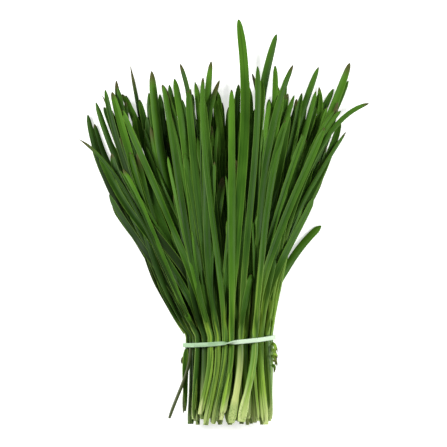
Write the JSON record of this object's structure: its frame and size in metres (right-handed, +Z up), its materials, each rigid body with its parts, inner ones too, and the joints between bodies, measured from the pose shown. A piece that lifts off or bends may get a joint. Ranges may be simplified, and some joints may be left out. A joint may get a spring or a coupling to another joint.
{
  "type": "bunch of garlic chives",
  "caption": "Bunch of flat-leaved garlic chives lying on its side, cut pale stems held by one narrow elastic band and long green leaves fanned out beyond it.",
  "frame": {"origin": "under the middle of the elastic band, on the surface that the bunch lies on", "axes": "+Z up from the surface; +Y along the bunch from the cut ends to the leaf tips; +X to the right, seen from above with the tips away from the viewer"},
  "size_m": [0.2146, 0.2985, 0.0416],
  "materials": {
    "leaf_deep_green": "satin",
    "leaf_mid_green": "satin",
    "leaf_bright_green": "satin",
    "band_elastic": "satin"
  },
  "bodies": {
    "root": {"shoot_01": "leaf_mid_green", "shoot_02": "leaf_bright_green", "shoot_03": "leaf_deep_green", "shoot_04": "leaf_mid_green", "shoot_05": "leaf_bright_green", "shoot_06": "leaf_deep_green", "shoot_07": "leaf_mid_green", "shoot_08": "leaf_bright_green", "shoot_09": "leaf_deep_green", "shoot_10": "leaf_mid_green", "shoot_11": "leaf_bright_green", "shoot_12": "leaf_deep_green", "shoot_13": "leaf_mid_green", "shoot_14": "leaf_bright_green", "shoot_15": "leaf_deep_green", "shoot_16": "leaf_mid_green", "shoot_17": "leaf_bright_green", "shoot_18": "leaf_deep_green", "shoot_19": "leaf_mid_green", "shoot_20": "leaf_bright_green", "shoot_21": "leaf_deep_green", "shoot_22": "leaf_mid_green", "shoot_23": "leaf_bright_green", "shoot_24": "leaf_deep_green", "shoot_25": "leaf_mid_green", "shoot_26": "leaf_bright_green", "shoot_27": "leaf_deep_green", "shoot_28": "leaf_mid_green", "shoot_29": "leaf_bright_green", "shoot_30": "leaf_deep_green", "shoot_31": "leaf_mid_green", "shoot_32": "leaf_bright_green", "shoot_33": "leaf_deep_green", "shoot_34": "leaf_mid_green", "shoot_35": "leaf_bright_green", "shoot_36": "leaf_deep_green", "shoot_37": "leaf_mid_green", "shoot_38": "leaf_bright_green", "shoot_39": "leaf_deep_green", "shoot_40": "leaf_mid_green", "shoot_41": "leaf_bright_green", "shoot_42": "leaf_deep_green", "shoot_43": "leaf_mid_green", "shoot_44": "leaf_bright_green", "shoot_45": "leaf_deep_green", "shoot_46": "leaf_mid_green", "shoot_47": "leaf_bright_green", "shoot_48": "leaf_deep_green", "shoot_49": "leaf_mid_green", "shoot_50": "leaf_bright_green", "shoot_51": "leaf_deep_green", "shoot_52": "leaf_mid_green", "shoot_53": "leaf_bright_green", "shoot_54": "leaf_deep_green", "shoot_55": "leaf_mid_green", "shoot_56": "leaf_bright_green", "shoot_57": "leaf_deep_green", "shoot_58": "leaf_mid_green", "elastic_band": "band_elastic"}
  },
  "joints": []
}
